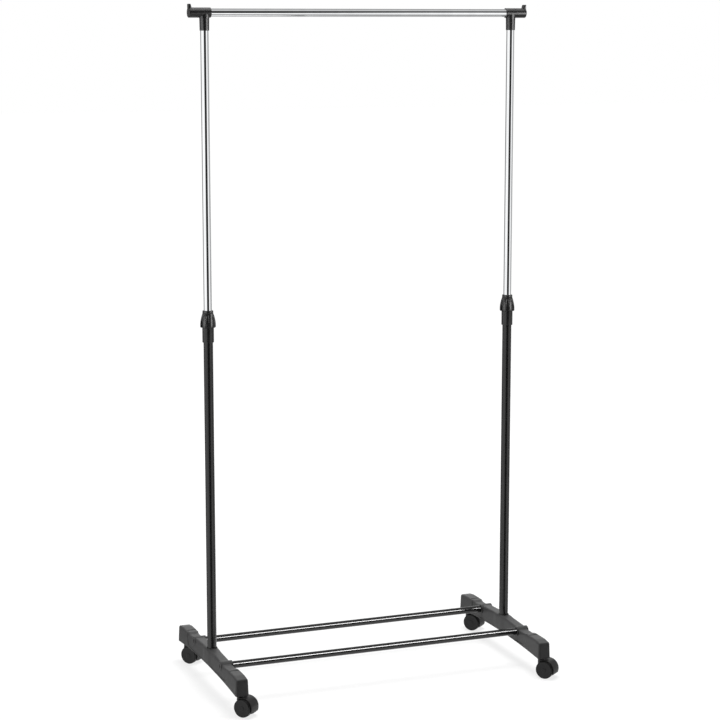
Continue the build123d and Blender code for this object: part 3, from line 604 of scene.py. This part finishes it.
def tee_socket():
    """Rows up the socket's outside and down its bore.

    The radius grows a little from mouth to barrel. Just under the barrel it flares by the square
    of the height left, times |cos|^1.5 of the angle from the barrel's axis, as a moulded fillet
    does. Each row above ends on the barrel's own wall.
    """
    angle = np.linspace(0, 2 * math.pi, 96, endpoint=False)
    along = np.abs(np.cos(angle)) ** 1.5
    seat = hang_height - np.sqrt(np.maximum(0.0105**2 - (0.0110 * np.sin(angle)) ** 2, 0))
    neck = hang_height - barrel_radius
    rows = [(mouth_radius - 0.0002, tee_mouth), (mouth_radius, tee_mouth + 0.0004)]
    for t in np.linspace(0.03, 1, 30):
        z = tee_mouth + (seat - tee_mouth) * t
        flare = np.clip((z - neck + 0.0022) / 0.0032, 0, 1) ** 2 * 0.0012
        rows.append((mouth_radius + 0.0005 * t + flare * along, z))
    rows += [(tube_bore, seat), (tube_bore, tee_mouth + 0.0006), (tube_bore + 0.0004, tee_mouth)]
    return skin(np.stack([ring(angle, *row) for row in rows]), closed=True)


for side, sign in SIDES.items():
    lip = rounded(
        (sign * lip_root, hang_height + 0.0104, 0), (sign * lip_root, hang_height + 0.0114, 0.0008),
        (sign * (tee_outboard - 0.0046), lip_top, 0.0014), (sign * lip_face, lip_top, 0.0014),
        (sign * lip_face, lip_low, 0), (sign * (tee_outboard - 0.0040), lip_low, 0),
    )
    tee = make(
        f"tee_connector_{side}_moulding",
        turned(barrel, (0, 0, hang_height), (sign, 0, 0)),
        tee_socket(),
        bar(lip, -0.0070, 0.0070, 0.0012),
        shift=(upright_x[side], 0, 0),
    )
    dressed(tee, joint_plastic, "joint_plastic", "mast", f"tee_connector_{side}")


# --- Casters ---
# Twin-wheel casters. A zinc plated stem with a spring ring is pushed into the foot, and the black
# body swivels on it: a hood over both wheels, a web between them and a boss for the stem. Each
# wheel is a dished nylon disc that turns on the steel axle.
caster_plastic = moulded(
    "caster_plastic", (0.024, 0.023, 0.023), (0.028, 0.027, 0.027), 0.36, 0.35, 1200, 0.03
)
wheel_plastic = moulded("wheel_plastic", (0.011, 0.011, 0.011), (0.013, 0.013, 0.013), 0.36, 0.28)
caster_turn = math.radians(-51)
trail = 0.0170  # from the stem's axis back to the axle
wheel_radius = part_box("front_left_wheel_front")[1].z / 2
wheel_face, wheel_back = 0.0206, 0.0074  # from the caster's middle
axle_radius = 0.00256
hood_half, hood_low, hood_high = 0.0150, wheel_radius + 0.0008, wheel_radius + 0.0026
web_half, web_radius = 0.0070, wheel_radius + 0.0017
wheel = rounded(
    (axle_radius, wheel_back, 0), (0.0055, wheel_back, 0.0004), (0.0055, 0.0178, 0.0005),
    (0.0180, 0.0178, 0.0005), (0.0183, wheel_back, 0.0003), (wheel_radius - 0.0006, wheel_back, 0.0006),
    (wheel_radius, 0.0100, 0.0030), (wheel_radius, wheel_face - 0.0026, 0.0026),
    (wheel_radius - 0.0010, wheel_face - 0.0004, 0.0010), (0.0188, wheel_face, 0.0012),
    (0.0176, wheel_face - 0.0004, 0.0008), (0.0100, wheel_face - 0.0009, 0.0040),
    (0.0058, wheel_face - 0.0007, 0.0006), (0.0054, wheel_face - 0.0001, 0.0004),
    (0.0030, wheel_face, 0.0010), (0, wheel_face, 0), (0, 0.0174, 0), (axle_radius, 0.0174, 0),
)


def caster_hood():
    """Rows of a rounded strip's outline (radius, y) carried round the axle from 25 degrees below
    the trailing side, over the top, to 45 degrees past it. The two ends draw in and close."""
    strip = rounded(
        (hood_low, -hood_half, 0.0003), (hood_high, -hood_half, 0.0012),
        (hood_high, hood_half, 0.0012), (hood_low, hood_half, 0.0003),
    )
    middle = strip.mean(0)
    span = np.radians(np.concatenate([[-25, -25], np.linspace(-24, 134, 49), [135, 135]]))
    share = np.concatenate([[0, 0.8], np.ones(49), [0.8, 0]])
    outline = middle + (strip - middle) * share[:, None, None]
    radius, across = outline[..., 0], outline[..., 1]
    x = trail + radius * np.cos(span)[:, None]
    z = wheel_radius + radius * np.sin(span)[:, None]
    return skin(np.stack([x, across, z], -1))


low_angle = math.asin(0.0080 / web_radius)
round_web = np.linspace(-low_angle, math.pi + low_angle, 60)
web = web_radius * np.stack([np.cos(round_web), np.sin(round_web)], -1) + (trail, wheel_radius)
swivel_boss = rounded((0, 0.0244, 0), (0.0070, 0.0244, 0.0008), (0.0070, 0.0460, 0.0008), (0, 0.0460, 0))

for side in SIDES:
    for row, y in (("front", -caster_line), ("rear", caster_line)):
        caster = f"{row}_{side}"
        here = (upright_x[side], y, 0)
        body = make(
            f"{caster}_caster_body",
            caster_hood(),
            bar(web, -web_half, web_half, 0.0006),
            turned(swivel_boss, (0, 0, 0), steps=48),
            shift=here,
            turn=caster_turn,
        )
        dressed(body, caster_plastic, "caster_plastic", f"{caster}_caster", f"{caster}_body")
        for end, way in (("front", -1), ("rear", 1)):
            disc = turned(wheel, (trail, 0, wheel_radius), (0, way, 0), 96)
            piece = make(f"{caster}_{end}_disc", disc, shift=here, turn=caster_turn)
            dressed(piece, wheel_plastic, "wheel_plastic", f"{caster}_wheel_{end}", f"{caster}_wheel_{end}")
        refinished(zinc, f"{caster}_stem", f"{caster}_axle")
refinished(zinc, "stem_grip_rings")


# --- Studio ---
# A pale floor under plain soft light from the left and from above, with a camera in front and to
# the left of the rack. The room that shines in the chrome is white, with a dark gap ahead, and
# four panels shine only in the glossy black pieces.
def area(name, place, aim, size, power, shines_in=()):
    """A soft lamp that gives light, or a panel that only shines in the glossy pieces named."""
    lamp = bpy.data.lights.new(name, "AREA")
    lamp.shape = "RECTANGLE"
    lamp.size, lamp.size_y = size
    lamp.energy = power
    holder = placed(name, lamp)
    holder.location = place
    x, y, z = np.array(aim) - np.array(place)
    holder.rotation_euler = (math.atan2(math.hypot(x, y), -z), 0, math.atan2(-x, y))
    holder.visible_camera = False
    holder.visible_glossy = bool(shines_in)
    holder.visible_diffuse = not shines_in
    if shines_in:
        pieces = bpy.data.collections.new(f"{name}_pieces")
        for piece in shines_in:
            pieces.objects.link(piece)
        holder.light_linking.receiver_collection = pieces


cross_rails = [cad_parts[f"cross_rail_{row}"] for row in ("front", "rear")]
tees = [bpy.data.objects[f"tee_connector_{side}_moulding"] for side in SIDES]
knobs = [bpy.data.objects[f"lock_knob_{side}_moulding"] for side in SIDES]
area("key", (-2.4, 0.35, 1.1), (-0.1, 0, 0.4), (1.0, 1.8), 18)
area("top", (0.4, 0.4, 3.0), (0, 0, 0.3), (1.8, 1.8), 105)
area("low_panel", (0.62, -1.60, 1.40), (0.05, 0, 0.08), (1.25, 0.50), 76, cross_rails)
area("over_panel", (0, 0.0, 2.6), (0, 0, 1.65), (1.6, 1.8), 10, tees)
area("right_panel", (2.10, -2.14, 1.15), (0, 0, 1.3), (1.8, 1.5), 50, tees + knobs)
area("left_panel", (-2.90, -0.76, 1.15), (0, 0, 1.3), (2.0, 1.5), 19, tees + knobs)


def sums(tree, kind, *values):
    """One step of arithmetic on sockets or plain numbers."""
    node = tree.nodes.new("ShaderNodeMath")
    node.operation = kind
    return fed(node, dict(enumerate(values))).outputs["Value"]


def seen_by(tree, *kinds):
    """1 for the named kinds of ray, 0 for the others."""
    path = tree.nodes.new("ShaderNodeLightPath")
    total = path.outputs[kinds[0]]
    for kind in kinds[1:]:
        total = sums(tree, "MAXIMUM", total, path.outputs[kind])
    return total


def step(tree, value, start, end):
    """Soft step from 0 at start to 1 at end."""
    node = tree.nodes.new("ShaderNodeMapRange")
    node.interpolation_type = "SMOOTHSTEP"
    return fed(node, {"Value": value, "From Min": start, "From Max": end}).outputs["Result"]


def mixed(tree, factor, first, second):
    """Shader that goes from first to second with the factor."""
    return fed(tree.nodes.new("ShaderNodeMixShader"), {0: factor, 1: first, 2: second}).outputs[0]


def grey(tree, kind, value):
    """A shader of one plain grey."""
    return fed(tree.nodes.new(f"ShaderNode{kind}"), {"Color": (value, value, value, 1)}).outputs[0]


floor_mesh = bpy.data.meshes.new("floor")
floor_mesh.from_pydata([(-30, -30, 0), (30, -30, 0), (30, 30, 0), (-30, 30, 0)], [], [(0, 1, 2, 3)])
floor = placed("floor", floor_mesh)
floor_white = bpy.data.materials.new("floor_white")
floor_white.use_nodes = True
tree = floor_white.node_tree
tree.nodes.clear()
place = tree.nodes.new("ShaderNodeTexCoord").outputs["Object"]
reach = tree.nodes.new("ShaderNodeVectorMath")
reach.operation = "LENGTH"
away = fed(reach, {0: place}).outputs["Value"]
# The eye and the polished pieces see a floor that glows, and the light bounces off a plain one.
# Polished pieces see it only close by.
fade = sums(tree, "MULTIPLY_ADD", step(tree, away, 0.8, 2.6), 0.20, 0.80)
glow = fed(tree.nodes.new("ShaderNodeEmission"), {"Strength": fade}).outputs[0]
shown = fed(tree.nodes.new("ShaderNodeAddShader"), {0: grey(tree, "BsdfDiffuse", 0.24), 1: glow}).outputs[0]
in_view = seen_by(tree, "Is Camera Ray", "Is Glossy Ray", "Is Transmission Ray")
lit = mixed(tree, in_view, grey(tree, "BsdfDiffuse", 0.35), shown)
far_mirror = sums(tree, "MULTIPLY", seen_by(tree, "Is Glossy Ray"), step(tree, away, 0.2, 0.7))
clear = tree.nodes.new("ShaderNodeBsdfTransparent").outputs[0]
fed(tree.nodes.new("ShaderNodeOutputMaterial"), {"Surface": mixed(tree, far_mirror, lit, clear)})
floor_mesh.materials.append(floor_white)

# The room by direction, as polished pieces show it: bearing from the front gap and height, in degrees.
world = bpy.data.worlds.new("studio")
bpy.context.scene.world = world
world.use_nodes = True
tree = world.node_tree
tree.nodes.clear()
split = tree.nodes.new("ShaderNodeSeparateXYZ")
fed(split, {"Vector": tree.nodes.new("ShaderNodeTexCoord").outputs["Generated"]})
way_x, way_y, way_z = split.outputs
front = math.radians(-111.4)


def towards(x, y):
    """How far the direction points towards (x, y)."""
    return sums(tree, "ADD", sums(tree, "MULTIPLY", way_x, x), sums(tree, "MULTIPLY", way_y, y))


ahead = towards(math.cos(front), math.sin(front))
aside = towards(-math.sin(front), math.cos(front))
bearing = sums(tree, "DEGREES", sums(tree, "ARCTAN2", aside, ahead))
rise = sums(tree, "DEGREES", sums(tree, "ARCSINE", way_z))


def window(west, east, low, high):
    """1 inside a window of bearings and heights, with edges 8 degrees soft."""
    soft = 4.0
    total = 1.0
    for value, start, end in ((bearing, west, east), (rise, low, high)):
        total = sums(tree, "MULTIPLY", total, step(tree, value, start - soft, start + soft))
        past = sums(tree, "SUBTRACT", 1.0, step(tree, value, end - soft, end + soft))
        total = sums(tree, "MULTIPLY", total, past)
    return total


# Brightness of the room, then its windows: west, east, low and high edges, and brightness. A
# later one covers an earlier one.
level = 0.26
for bounds, bright in (
    ((150, 181, -95, 40), 1.0),
    ((-181, -166, -95, 40), 1.0),
    ((100, 126, -95, 40), 0.6),
    ((-100, -16, -95, 70), 1.15),
    ((-92, -24, 18, 46), 0.10),
    ((44, 84, -22, 8), 1.10),
    ((-16, 42, -22, 60), 0.03),
    ((32, 90, 14, 44), 0.05),
    ((45, 120, 47, 62), 0.80),
    ((-181, 181, 62, 95), 0.55),
    ((30, 84, -38, -14), 1.3),
    ((-20, 181, -95, -40), 0.42),
):
    gate = window(*bounds)
    kept = sums(tree, "MULTIPLY", level, sums(tree, "SUBTRACT", 1.0, gate))
    level = sums(tree, "ADD", kept, sums(tree, "MULTIPLY", gate, bright))
background = tree.nodes.new("ShaderNodeBackground")
room = fed(background, {"Color": (1, 1, 1, 1), "Strength": level}).outputs[0]
seen = mixed(tree, seen_by(tree, "Is Glossy Ray"), grey(tree, "Background", 0.09), room)
in_view = seen_by(tree, "Is Camera Ray", "Is Transmission Ray")
seen = mixed(tree, in_view, seen, grey(tree, "Background", 1.0))
fed(tree.nodes.new("ShaderNodeOutputWorld"), {"Surface": seen})

camera_data = bpy.data.cameras.new("camera")
camera_data.lens = 101.9
camera_data.sensor_width = 36
camera = placed("camera", camera_data)
camera.location = (-1.7422, -4.4497, 1.5562)
camera.rotation_euler = (math.pi / 2 - 0.1648, 0, -0.3723)
bpy.context.scene.camera = camera
bpy.context.scene.view_settings.view_transform = "Standard"
